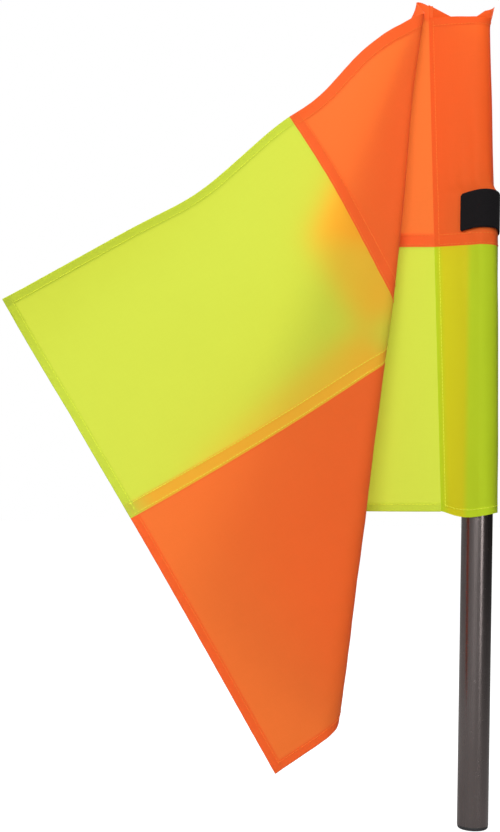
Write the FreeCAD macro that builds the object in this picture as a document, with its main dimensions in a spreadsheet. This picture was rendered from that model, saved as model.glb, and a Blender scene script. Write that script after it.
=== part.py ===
"""Hand-held signal flag: a quartered cloth on a sewn sleeve, held to a short tube pole by a strap.

Frame, in millimetres: +Z up along the pole, origin at the middle of the foot plug's lower face.
The cloth leaves the sleeve towards -X, and its outer face looks towards -Y.
"""
import FreeCAD, Part
import Sketcher
import math
import os

Vector = FreeCAD.Vector
UP = Vector(0, 0, 1)
doc = FreeCAD.newDocument("signal_flag")

# ---------------------------------------------------------------- driving dimensions
SIZES = {
    # pole
    "pole_radius": 12.5,
    "pole_wall": 1.2,
    "pole_length": 509.0,
    "plug_set_back": 0.2,
    "plug_stem_length": 14.0,
    "plug_stem_clearance": 0.05,
    "foot_flange": 3.0,
    "foot_rounding": 2.2,
    "top_flange": 2.0,
    "top_rounding": 0.8,
    # cloth, as cut and sewn: hoist along the pole, fly away from it
    "cloth_thickness": 0.5,
    "cloth_above_pole": 146.0,
    "hoist_height": 400.0,
    "fly_width": 439.0,
    "upper_quarter": 187.0,
    "hoist_quarter": 170.0,
    # line of stitching that closes the sleeve, measured from the pole's axis
    "stitch_top_reach": 45.5,
    "stitch_foot_reach": 29.4,
    "stitch_gap": 0.6,
    # sleeve: it hugs the pole round the strap, is slack at its hem and empty above the pole
    "sleeve_thickness": 0.4,
    "sleeve_clearance": 0.4,
    "grip_above_pole": 2.0,
    "grip_below_strap": 12.0,
    "neck_length": 6.0,
    "neck_shift": 4.0,
    "mouth_narrowing": 1.3,
    "mouth_flattening": 1.8,
    "mouth_shift": 8.2,
    "hem_slack": 2.7,
    "hem_shift": 3.0,
    # folds of the hanging cloth: they all run out of one point above the sleeve's corner
    "apex_inboard": 3.7,
    "apex_above": 27.0,
    "back_fold_at": 26.8,
    "back_fold_turn": -178.0,
    "back_fold_half_width": 2.8,
    "front_fold_at": 45.1,
    "front_fold_turn": 161.0,
    "front_fold_half_width": 3.6,
    "front_bend_at": 65.0,
    "front_bend_turn": 13.0,
    "front_bend_half_width": 9.0,
    "edge_curl_at": 84.0,
    "edge_curl_turn": -33.0,
    "edge_curl_half_width": 8.0,
    "fold_soft_radius": 110.0,
    "swing_rate": 0.010,
    "swing_start": 214.0,
    "swing_onset": 60.0,
    "bias_stretch": 0.047,
    "hang_tilt": 0.015,
    "cloth_sample": 5.0,
    # strap
    "strap_width": 30.0,
    "strap_below_grip_top": 1.0,
    "strap_thickness": 0.9,
    "strap_gap": 0.33,
    "strap_stand_off": 0.03,
    "strap_past_sleeve": 5.3,
    "strap_hinge_gap": 0.35,
    "tape_thickness": 0.45,
    "tape_inset": 1.5,
    "tape_start_angle": 55.0,
    # thread
    "thread_radius": 0.3,
    "sleeve_thread_inset": 4.0,
    "strap_thread_inset": 3.0,
    "strap_thread_start": 9.3,
}

sheet = doc.addObject("Spreadsheet::Sheet", "sizes")
for row, (alias, value) in enumerate(SIZES.items(), start=1):
    sheet.set(f"A{row}", alias)
    sheet.set(f"B{row}", str(value))
    sheet.setAlias(f"B{row}", alias)
doc.recompute()


def size(alias):
    """A driving dimension, read from the sheet."""
    return float(sheet.get(alias))


# ---------------------------------------------------------------- pole and its plugs
def add_disc(body, name, radii, start, length):
    """Pad one or two circles about the pole's axis upwards from a height. The sizes are expressions."""
    sketch = body.newObject("Sketcher::SketchObject", f"{name}_sketch")
    plane = next(f for f in body.Origin.OriginFeatures if f.Role == "XY_Plane")
    sketch.AttachmentSupport = [(plane, "")]
    sketch.MapMode = "FlatFace"
    for index, radius in enumerate(radii):
        rough_radius = 10.0 - index
        sketch.addGeometry(Part.Circle(Vector(), UP, rough_radius), False)
        sketch.addConstraint(Sketcher.Constraint("Coincident", index, 3, -1, 1))
        number = sketch.addConstraint(Sketcher.Constraint("Radius", index, rough_radius))
        sketch.setExpression(f"Constraints[{number}]", radius)
    sketch.setExpression("AttachmentOffset.Base.z", start)
    pad = body.newObject("PartDesign::Pad", f"{name}_pad")
    pad.Profile = sketch
    pad.setExpression("Length", length)
    doc.recompute()
    return pad


def round_rim(body, base, height, radius):
    """Fillet the pad's circular edge that lies at a height."""
    rims = [
        f"Edge{number}"
        for number, edge in enumerate(base.Shape.Edges, start=1)
        if edge.BoundBox.ZLength < 0.01 and abs(edge.BoundBox.ZMin - height) < 0.01
    ]
    fillet = body.newObject("PartDesign::Fillet", f"{body.Name}_rounding")
    fillet.Base = (base, rims)
    fillet.setExpression("Radius", radius)
    doc.recompute()


def make_body(label):
    body = doc.addObject("PartDesign::Body", label)
    body.Label = label
    return body


def build_pole():
    tube = make_body("pole_tube")
    add_disc(
        tube,
        "tube",
        ["sizes.pole_radius", "sizes.pole_radius - sizes.pole_wall"],
        "sizes.foot_flange",
        "sizes.pole_length - sizes.foot_flange - sizes.top_flange",
    )

    stem_radius = "sizes.pole_radius - sizes.pole_wall - sizes.plug_stem_clearance"
    flange_radius = "sizes.pole_radius - sizes.plug_set_back"
    foot = make_body("pole_foot_plug")
    add_disc(foot, "foot_stem", [stem_radius], "sizes.foot_flange", "sizes.plug_stem_length")
    flange = add_disc(foot, "foot_flange", [flange_radius], "0", "sizes.foot_flange")
    round_rim(foot, flange, 0.0, "sizes.foot_rounding")

    top = make_body("pole_top_plug")
    stem_start = "sizes.pole_length - sizes.top_flange - sizes.plug_stem_length"
    add_disc(top, "top_stem", [stem_radius], stem_start, "sizes.plug_stem_length")
    cap_start = "sizes.pole_length - sizes.top_flange"
    cap = add_disc(top, "top_cap", [flange_radius], cap_start, "sizes.top_flange")
    round_rim(top, cap, size("pole_length"), "sizes.top_rounding")


# ---------------------------------------------------------------- heights and the stitch line
CLOTH_TOP = size("pole_length") + size("cloth_above_pole")
CLOTH_FOOT = CLOTH_TOP - size("hoist_height")
SEAM_HEIGHT = CLOTH_TOP - size("upper_quarter")
GRIP_TOP = size("pole_length") + size("grip_above_pole")
STRAP_TOP = GRIP_TOP - size("strap_below_grip_top")
STRAP_FOOT = STRAP_TOP - size("strap_width")
STRAP_MIDDLE = (STRAP_FOOT + STRAP_TOP) / 2
NECK_TOP = GRIP_TOP + size("neck_length")
GRIP_FOOT = STRAP_FOOT - size("grip_below_strap")
GRIP_RADIUS = size("pole_radius") + size("sleeve_clearance") + size("sleeve_thickness")


def blend(low, high, share):
    return low + (high - low) * share


def stitch_x(height):
    """Where the sleeve's closing stitches lie, at a height."""
    share = (height - CLOTH_FOOT) / size("hoist_height")
    return -blend(size("stitch_foot_reach"), size("stitch_top_reach"), share)


# ---------------------------------------------------------------- the cloth's hanging shape
APEX_ALONG = -size("apex_inboard")
APEX_DOWN = -size("apex_above")
ANGLE_STEP = 0.5
LAST_ANGLE = 115.0
HELD_ANGLE = 10.0
FOLDS = [
    (size(f"{fold}_at"), math.radians(size(f"{fold}_turn")), size(f"{fold}_half_width"))
    for fold in ("back_fold", "front_fold", "front_bend", "edge_curl")
]
ray_tables = {}


def turning(angle, widening):
    """How fast the cloth turns about its rays at a flat angle, in radians per degree."""
    total = 0.0
    for middle, turn, half_width in FOLDS:
        reach = half_width * widening
        offset = (angle - middle) / reach
        if abs(offset) < 1:
            total += turn * 0.5 * (1 + math.cos(math.pi * offset)) / reach
    return total


def ray_table(widening):
    """Unit directions of the cloth's rays, one for each step of flat angle from the hoist."""
    if widening not in ray_tables:
        ray, across = Vector(0, 0, -1), Vector(-1, 0, 0)
        step = math.radians(ANGLE_STEP)
        table = []
        for number in range(int(LAST_ANGLE / ANGLE_STEP) + 1):
            table.append(Vector(ray))
            bend = turning((number + 0.5) * ANGLE_STEP, widening) * ANGLE_STEP
            normal = ray.cross(across)
            across = across * math.cos(bend) + normal * math.sin(bend)
            ray, across = (
                ray * math.cos(step) + across * math.sin(step),
                across * math.cos(step) - ray * math.sin(step),
            )
        ray_tables[widening] = table
    return ray_tables[widening]


def drape(along, down):
    """Where a point of the flat cloth hangs. along is measured from the stitches, down from the top."""
    from_apex = math.hypot(along - APEX_ALONG, down - APEX_DOWN)
    angle = math.degrees(math.atan2(along - APEX_ALONG, down - APEX_DOWN))
    # cloth near the apex can't fold as tight as the rays ask, so the folds are wider there
    widening = max(1.0, size("fold_soft_radius") / from_apex)
    # the free part swings down as it gets further out, and the cloth gives along its bias
    freedom = min(max((angle - HELD_ANGLE) / (size("back_fold_at") - HELD_ANGLE), 0.0), 1.0)
    onset = size("swing_onset")
    beyond = math.log1p(math.exp((from_apex - size("swing_start")) / onset))
    swing = size("swing_rate") * onset * beyond
    bias = math.sin(2 * math.radians(min(angle, 90.0))) ** 2
    reach = from_apex * (1 + size("bias_stretch") * bias * freedom)
    position = (angle + swing * freedom) / ANGLE_STEP
    number = min(int(position), int(LAST_ANGLE / ANGLE_STEP) - 1)
    table = ray_table(round(widening, 3))
    ray = table[number] * (1 - position + number) + table[number + 1] * (position - number)
    point = Vector(-APEX_ALONG, 0, CLOTH_TOP - APEX_DOWN) + ray * reach
    # the cloth hangs a little lower as it gets further out, and the leaning stitch line carries it
    point.z += size("hang_tilt") * point.x
    point.x += stitch_x(point.z)
    return point


def cloth_point(along, down, side):
    """A point on one face of the cloth: side is 1 for the outer face and -1 for the back."""
    probe = 0.5
    run = drape(along + probe, down) - drape(along - probe, down)
    fall = drape(along, down + probe) - drape(along, down - probe)
    normal = run.cross(fall)
    normal.normalize()
    return drape(along, down) + normal * (side * size("cloth_thickness") / 2)


def spaced(start, stop):
    """Evenly spaced values from start to stop, about one cloth sample apart."""
    count = max(4, round((stop - start) / size("cloth_sample")))
    return [blend(start, stop, number / count) for number in range(count + 1)]


def closed_solid(faces):
    """Sew faces that share their edges into one solid."""
    sewn = Part.makeCompound(faces)
    sewn.sewShape()
    solid = Part.makeSolid(sewn.Shells[0])
    if solid.Volume < 0:
        solid.reverse()
    return solid


def cloth_panel(along_range, down_range):
    """A quarter of the cloth as a solid: two curved faces and the four narrow sides between them."""
    columns = spaced(*along_range)
    rows = spaced(*down_range)
    skins = []
    for side in (1, -1):
        skin = Part.BSplineSurface()
        skin.interpolate([[cloth_point(along, down, side) for down in rows] for along in columns])
        skins.append(skin)
    borders = []
    for skin in skins:
        first_u, last_u, first_v, last_v = skin.bounds()
        borders.append(
            [skin.uIso(first_u), skin.uIso(last_u), skin.vIso(first_v), skin.vIso(last_v)]
        )
    sides = [
        Part.makeLoft([Part.Wire(outer.toShape()), Part.Wire(back.toShape())], False, True)
        for outer, back in zip(*borders)
    ]
    return closed_solid([skin.toShape() for skin in skins] + sides)


# ---------------------------------------------------------------- sleeve
def sleeve_section(height):
    """Tip, centre, half width and half depth of the sleeve's outer face at a height."""
    tip = stitch_x(height)
    if height >= GRIP_TOP:
        share = (height - GRIP_TOP) / (CLOTH_TOP - GRIP_TOP)
        half_width = GRIP_RADIUS - size("mouth_narrowing") * share
        half_depth = GRIP_RADIUS - size("mouth_flattening") * share
        neck_share = min((height - GRIP_TOP) / size("neck_length"), 1)
        centre = -size("neck_shift") * neck_share - (size("mouth_shift") - size("neck_shift")) * share
        return tip, centre, half_width, half_depth
    if height >= GRIP_FOOT:
        return tip, 0.0, GRIP_RADIUS, GRIP_RADIUS
    share = (GRIP_FOOT - height) / (GRIP_FOOT - CLOTH_FOOT)
    half_depth = GRIP_RADIUS + size("hem_slack") * share
    return tip, size("hem_shift") * share, GRIP_RADIUS, half_depth


def sleeve_heights(low, high):
    """Heights from low to high at which the sleeve's section changes its course."""
    shortest = 1.0
    turns = (GRIP_FOOT, GRIP_TOP, NECK_TOP)
    between = [h for h in turns if low + shortest < h < high - shortest]
    return [low] + between + [high]


def leaving_angle(tip, centre, half_width):
    """Angle, on the round end, where the flat walls leave it for the tip."""
    return math.acos(-half_width / (centre - tip))


def sleeve_wire(height, inset):
    """The closed outline of the sleeve at a height, moved inwards by inset."""
    tip, centre, half_width, half_depth = sleeve_section(height)
    half_tip_angle = math.asin(half_depth / (centre - tip))
    tip += inset / math.sin(half_tip_angle)
    half_width -= inset
    half_depth -= inset
    end = leaving_angle(tip, centre, half_width)
    arc_parts = 12
    angles = [blend(-end, end, number / arc_parts) for number in range(arc_parts + 1)]
    rounded = Part.BSplineCurve()
    rounded.interpolate(
        [
            Vector(centre + half_width * math.cos(a), half_depth * math.sin(a), height)
            for a in angles
        ]
    )
    point = Vector(tip, 0, height)
    front = Part.makeLine(point, rounded.StartPoint)
    back = Part.makeLine(rounded.EndPoint, point)
    return Part.Wire([front, rounded.toShape(), back])


def sleeve_piece(heights):
    """A length of sleeve through the given heights, open at both ends."""
    outer = Part.makeLoft([sleeve_wire(h, 0.0) for h in heights], True, True)
    inner = Part.makeLoft([sleeve_wire(h, size("sleeve_thickness")) for h in heights], True, True)
    return outer.cut(inner)


# ---------------------------------------------------------------- strap
def girdle_point(height, side, angle, stand_off):
    """A point round the gripped sleeve, on its round end. side is -1 in front and 1 behind."""
    radius = GRIP_RADIUS + stand_off
    return Vector(radius * math.cos(angle), side * radius * math.sin(angle), height)


def girdle_end(height, side, reach, stand_off):
    """A point on the sleeve's flat wall, at x = -reach, standing off it."""
    end = leaving_angle(stitch_x(height), 0.0, GRIP_RADIUS)
    leave = girdle_point(height, side, end, stand_off)
    slope = math.tan(end - math.pi / 2)
    return Vector(-reach, leave.y - side * (leave.x + reach) * slope, height)


def girdle_wire(height, side, start, stand_offs, thickness, reach):
    """Outline of a tape round the sleeve: start angle, stand-off there and further on, and x reached."""
    first, later = stand_offs
    end = leaving_angle(stitch_x(height), 0.0, GRIP_RADIUS)
    turn = max(start, math.radians(size("tape_start_angle")))
    edges = []
    walls = []
    for extra in (0.0, thickness):
        points = [girdle_point(height, side, start, first + extra)]
        segments = []
        if turn > start:
            middle = (start + turn) / 2
            half_way = girdle_point(height, side, middle, (first + later) / 2 + extra)
            at_turn = girdle_point(height, side, turn, later + extra)
            segments.append(Part.Arc(points[-1], half_way, at_turn).toShape())
            points.append(at_turn)
        leave = girdle_point(height, side, end, later + extra)
        bulge = girdle_point(height, side, (turn + end) / 2, later + extra)
        segments.append(Part.Arc(points[-1], bulge, leave).toShape())
        tip = girdle_end(height, side, reach, later + extra)
        segments.append(Part.makeLine(leave, tip))
        walls.append((points[0], tip))
        edges.append(segments)
    (inner_start, inner_tip), (outer_start, outer_tip) = walls
    closing = [Part.makeLine(inner_tip, outer_tip), Part.makeLine(outer_start, inner_start)]
    return Part.Wire(Part.sortEdges(edges[0] + edges[1] + closing)[0])


def girdle_tape(side, start, stand_offs, thickness, reach, inset=0.0):
    """A tape round the sleeve, between the strap's edges moved in by inset."""
    heights = (STRAP_FOOT + inset, STRAP_TOP - inset)
    wires = [girdle_wire(h, side, start, stand_offs, thickness, reach) for h in heights]
    return Part.makeLoft(wires, True, True)


def thread(start, end):
    """A straight run of thread between two points."""
    return Part.makeCylinder(size("thread_radius"), (end - start).Length, start, end - start)


def add_feature(label, shape):
    feature = doc.addObject("Part::Feature", label)
    feature.Label = label
    feature.Shape = shape
    feature.Placement = FreeCAD.Placement()
    return feature


def build_sleeve():
    add_feature("sleeve_upper", sleeve_piece(sleeve_heights(SEAM_HEIGHT, CLOTH_TOP)))
    add_feature("sleeve_lower", sleeve_piece(sleeve_heights(CLOTH_FOOT, SEAM_HEIGHT)))


def wall_point(height, side, inset):
    """A point on the sleeve's flat wall, a given way in from the tip, one thread radius proud of it."""
    tip, centre, half_width, half_depth = sleeve_section(height)
    end = leaving_angle(tip, centre, half_width)
    leave = Vector(centre + half_width * math.cos(end), side * half_depth * math.sin(end), height)
    wall = leave - Vector(tip, 0, height)
    outward = Vector(-wall.y * side, wall.x * side, 0)
    outward.normalize()
    share = inset / wall.Length
    return Vector(tip, 0, height) + wall * share + outward * size("thread_radius")


def build_sleeve_stitching():
    """Two rows of thread, one on each face, beside the sleeve's tip."""
    runs = []
    inset = size("sleeve_thread_inset")
    heights = sleeve_heights(CLOTH_FOOT, CLOTH_TOP)
    for side in (-1, 1):
        for low, high in zip(heights, heights[1:]):
            runs.append(thread(wall_point(low, side, inset), wall_point(high, side, inset)))
    add_feature("sleeve_stitching", Part.makeCompound(runs))


def build_strap():
    gap = size("strap_gap")
    tape = size("tape_thickness")
    strap = size("strap_thickness")
    reach = GRIP_RADIUS + size("strap_past_sleeve")
    inset = size("tape_inset")
    start = size("strap_hinge_gap") / GRIP_RADIUS
    stand_off = size("strap_stand_off")
    tape_start = math.radians(size("tape_start_angle"))
    band = girdle_tape(1, start, (stand_off, stand_off), strap, reach)
    add_feature("strap_band", band)
    flap = girdle_tape(-1, start, (gap, gap + 2 * tape + stand_off), strap, reach)
    add_feature("strap_flap", flap)
    loops = girdle_tape(-1, tape_start, (stand_off, stand_off), tape, reach - inset, inset)
    add_feature("strap_loop_patch", loops)
    hooks = girdle_tape(-1, tape_start, (gap + tape, gap + tape), tape, reach - inset, inset)
    add_feature("strap_hook_patch", hooks)

    # the strap's sewn end, behind the sleeve: a box of thread
    proud = stand_off + strap + size("thread_radius")
    margin = size("strap_thread_inset")
    low, high = STRAP_FOOT + margin, STRAP_TOP - margin
    far, near = reach - margin, size("strap_thread_start")
    corners = [
        girdle_end(height, 1, x, proud)
        for height, x in ((low, far), (high, far), (high, near), (low, near))
    ]
    box = [thread(a, b) for a, b in zip(corners, corners[1:] + corners[:1])]
    add_feature("strap_stitching", box[0].multiFuse(box[1:]))


def build_cloth():
    gap = size("stitch_gap")
    seam_along = size("hoist_quarter")
    seam_down = size("upper_quarter")
    columns = {"hoist": (gap, seam_along), "fly": (seam_along, size("fly_width"))}
    rows = {"upper": (0.0, seam_down), "lower": (seam_down, size("hoist_height"))}
    for column, along_range in columns.items():
        for level, down_range in rows.items():
            add_feature(f"{column}_{level}_panel", cloth_panel(along_range, down_range))


# ---------------------------------------------------------------- build, check, write
build_pole()
build_sleeve()
build_sleeve_stitching()
build_strap()
build_cloth()
doc.recompute()

for item in doc.Objects:
    if "Invalid" in item.State or "Error" in item.State:
        raise RuntimeError(f"{item.Name} failed to build: {item.State}")

pieces = [item for item in doc.Objects if item.TypeId in ("PartDesign::Body", "Part::Feature")]
for piece in pieces:
    if piece.Shape.isNull() or not piece.Shape.isValid() or piece.Shape.Volume <= 0:
        raise RuntimeError(f"{piece.Label} is not a sound solid")

os.makedirs("parts", exist_ok=True)
for piece in pieces:
    piece.Shape.exportStep(f"parts/{piece.Label}.step")
    box = piece.Shape.BoundBox
    print(
        f"{piece.Label}: {len(piece.Shape.Solids)} solids, {piece.Shape.Volume:.0f} mm3, "
        f"x {box.XMin:.1f} to {box.XMax:.1f}, y {box.YMin:.1f} to {box.YMax:.1f}, "
        f"z {box.ZMin:.1f} to {box.ZMax:.1f}"
    )
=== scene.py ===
"""Looks of the hand-held signal flag, in metres, in the same frame as the CAD.

The cloth hangs in the shape that part.py gives its panels, is relaxed by a cloth simulation, and is
then cut into its sewn parts: four quarters, seam allowances, hems and rows of stitches.
"""
import bpy
import math
import numpy as np
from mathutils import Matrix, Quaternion, Vector


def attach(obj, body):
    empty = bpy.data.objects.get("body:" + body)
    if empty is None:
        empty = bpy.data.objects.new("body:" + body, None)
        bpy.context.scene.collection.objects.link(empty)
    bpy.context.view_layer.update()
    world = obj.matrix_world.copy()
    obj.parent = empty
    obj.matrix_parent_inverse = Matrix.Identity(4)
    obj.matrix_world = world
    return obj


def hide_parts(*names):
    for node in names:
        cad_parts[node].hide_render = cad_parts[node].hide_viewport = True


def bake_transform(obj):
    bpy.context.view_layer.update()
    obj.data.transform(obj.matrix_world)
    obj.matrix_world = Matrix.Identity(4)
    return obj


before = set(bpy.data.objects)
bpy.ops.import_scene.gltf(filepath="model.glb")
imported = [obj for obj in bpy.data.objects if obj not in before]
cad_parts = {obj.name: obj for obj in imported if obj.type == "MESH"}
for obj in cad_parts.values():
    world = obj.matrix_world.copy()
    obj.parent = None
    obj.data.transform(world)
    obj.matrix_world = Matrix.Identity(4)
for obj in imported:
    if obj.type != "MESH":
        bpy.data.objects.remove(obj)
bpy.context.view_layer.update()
MM = 0.001

# ------------------------------ sizes, as in part.py
POLE_RADIUS = 12.5 * MM
POLE_LENGTH = 509 * MM
HOIST = 400 * MM
FLY = 439 * MM
UPPER = 187 * MM
QUARTER = 170 * MM
CLOTH_TOP = POLE_LENGTH + 146 * MM
CLOTH_FOOT = CLOTH_TOP - HOIST
STITCH_TOP = 45.5 * MM
STITCH_FOOT = 29.4 * MM
STRAP_WIDTH = 30 * MM
STRAP_THICK = 0.9 * MM
STRAP_TIP = 18.6 * MM
STRAP_HINGE_GAP = 0.35 * MM
SLEEVE_SKIN = 0.2 * MM
SLEEVE_CLEARANCE = 0.4 * MM
GRIP_RADIUS = POLE_RADIUS + SLEEVE_CLEARANCE + 2 * SLEEVE_SKIN
GRIP_TOP = POLE_LENGTH + 2 * MM
STRAP_TOP = GRIP_TOP - MM
STRAP_FOOT = STRAP_TOP - STRAP_WIDTH
STRAP_MIDDLE = (STRAP_FOOT + STRAP_TOP) / 2
GRIP_FOOT = STRAP_FOOT - 12 * MM
NECK_LENGTH = 6 * MM
NECK_SHIFT = 4 * MM
MOUTH_SHIFT = 8.2 * MM
MOUTH_NARROWER = 1.3 * MM
MOUTH_FLATTER = 1.8 * MM
HEM_SHIFT = 3.0 * MM
HEM_DEEPER = 2.7 * MM

APEX_INBOARD = 3.7 * MM
APEX_ABOVE = 27 * MM
FOLDS = [
    # flat angle of the middle, turn and half width, in degrees
    (26.8, -178.0, 2.8),
    (45.1, 161.0, 3.6),
    (65.0, 13.0, 9.0),
    (84.0, -33.0, 8.0),
]
FOLD_SOFT_RADIUS = 110 * MM
HELD_ANGLE = 10.0
SWING_RATE = 10.0
SWING_START = 214 * MM
SWING_ONSET = 60 * MM
BIAS_STRETCH = 0.047
HANG_TILT = 0.015
ANGLE_STEP = 0.5
LAST_ANGLE = 115.0


def stitch_x(height):
    share = (height - CLOTH_FOOT) / HOIST
    return -(STITCH_FOOT + (STITCH_TOP - STITCH_FOOT) * share)


def turning(angle, widening):
    """How fast the cloth turns about its rays at a flat angle, in radians per degree."""
    total = np.zeros_like(widening)
    for middle, turn, half_width in FOLDS:
        reach = half_width * widening
        offset = np.clip((angle - middle) / reach, -1, 1)
        total += math.radians(turn) * 0.5 * (1 + np.cos(math.pi * offset)) / reach
    return total


def drape(along, down):
    """Where points of the flat cloth hang: arrays of flat positions to an array of points."""
    across_flat = along + APEX_INBOARD
    down_flat = down + APEX_ABOVE
    from_apex = np.hypot(across_flat, down_flat)
    angle = np.degrees(np.arctan2(across_flat, down_flat))
    widening = np.maximum(1.0, FOLD_SOFT_RADIUS / from_apex)
    freedom = np.clip((angle - HELD_ANGLE) / (FOLDS[0][0] - HELD_ANGLE), 0, 1)
    beyond = np.log1p(np.exp((from_apex - SWING_START) / SWING_ONSET))
    swing = SWING_RATE * SWING_ONSET * beyond
    bias = np.sin(2 * np.radians(np.minimum(angle, 90))) ** 2
    reach = from_apex * (1 + BIAS_STRETCH * bias * freedom)
    target = angle + swing * freedom
    ray = np.zeros(along.shape + (3,))
    ray[..., 2] = -1
    across = np.zeros_like(ray)
    across[..., 0] = -1
    for number in range(int(LAST_ANGLE / ANGLE_STEP)):
        step = np.clip(target - number * ANGLE_STEP, 0, ANGLE_STEP)
        bend = (turning((number + 0.5) * ANGLE_STEP, widening) * step)[..., None]
        normal = np.cross(ray, across)
        across = across * np.cos(bend) + normal * np.sin(bend)
        turned = np.radians(step)[..., None]
        ray, across = (
            ray * np.cos(turned) + across * np.sin(turned),
            across * np.cos(turned) - ray * np.sin(turned),
        )
    point = ray * reach[..., None]
    point[..., 0] += APEX_INBOARD
    point[..., 2] += CLOTH_TOP + APEX_ABOVE + HANG_TILT * point[..., 0]
    point[..., 0] += stitch_x(point[..., 2])
    return point


def bump(value, middle, width):
    return np.exp(-(((value - middle) / width) ** 2))


def smooth_step(value):
    share = np.clip(value, 0, 1)
    return share * share * (3 - 2 * share)


# gentle departures of the real cloth from its ruled shape: where, how wide, and which way
LIFTS = [
    # along, down, width along, width down, (x, y, z)
    (6 * MM, 0, 11.8 * MM, 11 * MM, (0, 0, 8.3 * MM)),
    (30 * MM, 0, 16 * MM, 40 * MM, (0, 0, 7 * MM)),
    (54 * MM, 0, 18 * MM, 40 * MM, (0, 0, 3.5 * MM)),
    (80 * MM, 0, 45 * MM, 75 * MM, (-4 * MM, -3 * MM, 12 * MM)),
    (178 * MM, 0, 28 * MM, 70 * MM, (2 * MM, 0, 4.6 * MM)),
    (262 * MM, 0, 48 * MM, 60 * MM, (2 * MM, 0, -7.5 * MM)),
    (330 * MM, 0, 60 * MM, 60 * MM, (0, 0, -4 * MM)),
    (FLY, 0, 90 * MM, 90 * MM, (4 * MM, 0, -4 * MM)),
    (QUARTER, 150 * MM, 40 * MM, 40 * MM, (0, 0, -8 * MM)),
]


def hanging(along, down):
    """The cloth's shape before it is relaxed."""
    point = drape(along, down)
    for at_along, at_down, wide, deep, shift in LIFTS:
        weight = bump(along, at_along, wide) * bump(down, at_down, deep)
        point += weight[..., None] * np.array(shift)
    return point


# ------------------------------ mesh helpers
def make_mesh(name, points, faces, flat=None):
    """A mesh object from an array of points and a list of faces, with the flat cloth's coordinates."""
    mesh = bpy.data.meshes.new(name)
    mesh.from_pydata([tuple(p) for p in points], [], faces)
    mesh.update()
    mesh.shade_smooth()
    if flat is not None:
        attribute = mesh.attributes.new("flat", "FLOAT_VECTOR", "POINT")
        attribute.data.foreach_set("vector", np.asarray(flat, dtype=np.float32).ravel())
    piece = bpy.data.objects.new(name, mesh)
    bpy.context.scene.collection.objects.link(piece)
    return piece


def grid_faces(rows, columns, flip=False):
    """Quads of a grid of points stored row by row."""
    faces = []
    for row in range(rows - 1):
        for column in range(columns - 1):
            corner = row * columns + column
            face = (corner, corner + 1, corner + columns + 1, corner + columns)
            faces.append(face[::-1] if flip else face)
    return faces


# ------------------------------ cloth, relaxed by simulation
SIM_STEP = 5 * MM
CAP = 5 * MM
SIM_FRAMES = 16
SMOOTHING_PASSES = 6
HELD_LIGHTLY = 0.12
HOLD_REACH = 12 * MM


def spaced(start, stop, step):
    return np.linspace(start, stop, max(2, round((stop - start) / step) + 1))


def relax(points, held):
    """Let the cloth settle under gravity near its shape, and return the settled points."""
    rows, columns = points.shape[:2]
    cloth = make_mesh("cloth_trial", points.reshape(-1, 3), grid_faces(rows, columns))
    group = cloth.vertex_groups.new(name="held")
    for index, weight in enumerate(held.ravel()):
        group.add([index], float(weight), "REPLACE")
    modifier = cloth.modifiers.new("cloth", "CLOTH")
    settings = modifier.settings
    settings.quality = 6
    settings.mass = 0.00012
    settings.tension_stiffness = 12
    settings.compression_stiffness = 8
    settings.shear_stiffness = 4
    settings.bending_stiffness = 0.08
    settings.air_damping = 2
    settings.vertex_group_mass = "held"
    settings.pin_stiffness = 0.6
    modifier.collision_settings.use_collision = False
    modifier.point_cache.frame_start = 1
    modifier.point_cache.frame_end = SIM_FRAMES
    scene = bpy.context.scene
    for number in range(1, SIM_FRAMES + 1):
        scene.frame_set(number)
    settled = cloth.evaluated_get(bpy.context.evaluated_depsgraph_get())
    found = np.empty(rows * columns * 3, dtype=np.float32)
    settled.data.vertices.foreach_get("co", found)
    bpy.data.meshes.remove(cloth.data)
    scene.frame_set(1)
    move = found.reshape(rows, columns, 3) - points
    # what is finer than the grid can show is smoothed away
    for _ in range(SMOOTHING_PASSES):
        around = np.pad(move, ((1, 1), (1, 1), (0, 0)), mode="edge")
        beside = around[:-2, 1:-1] + around[2:, 1:-1] + around[1:-1, :-2] + around[1:-1, 2:]
        move = 0.5 * move + 0.125 * beside
    length = np.linalg.norm(move, axis=2, keepdims=True)
    return points + move * np.minimum(1.0, CAP / np.maximum(length, 1e-9))


sim_along = spaced(0.0, FLY, SIM_STEP)
sim_down = spaced(0.0, HOIST, SIM_STEP)
grid_along, grid_down = np.meshgrid(sim_along, sim_down, indexing="ij")
shape = hanging(grid_along, grid_down)
hold = HELD_LIGHTLY + (1 - HELD_LIGHTLY) * np.exp(-grid_along / HOLD_REACH)
shape = relax(shape, hold)


def weights(t):
    """Catmull-Rom weights for the four neighbours of a place between two samples."""
    return (
        0.5 * (-t + 2 * t**2 - t**3),
        0.5 * (2 - 5 * t**2 + 3 * t**3),
        0.5 * (t + 4 * t**2 - 3 * t**3),
        0.5 * (-(t**2) + t**3),
    )


padded_shape = np.pad(shape, ((1, 1), (1, 1), (0, 0)), mode="reflect", reflect_type="odd")


def settled_point(along, down):
    """A smooth surface through the settled cloth, at arrays of flat positions."""
    place_a = np.clip(along / sim_along[1], 0, len(sim_along) - 1 - 1e-9)
    place_d = np.clip(down / sim_down[1], 0, len(sim_down) - 1 - 1e-9)
    first_a = place_a.astype(int)
    first_d = place_d.astype(int)
    total = np.zeros(along.shape + (3,))
    for i, weight_a in enumerate(weights(place_a - first_a)):
        for j, weight_d in enumerate(weights(place_d - first_d)):
            total += (weight_a * weight_d)[..., None] * padded_shape[first_a + i, first_d + j]
    return total


PROBE = 0.8 * MM
PUCKER = 0.16 * MM
SLOW_SWELL = 0.35 * MM


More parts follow.
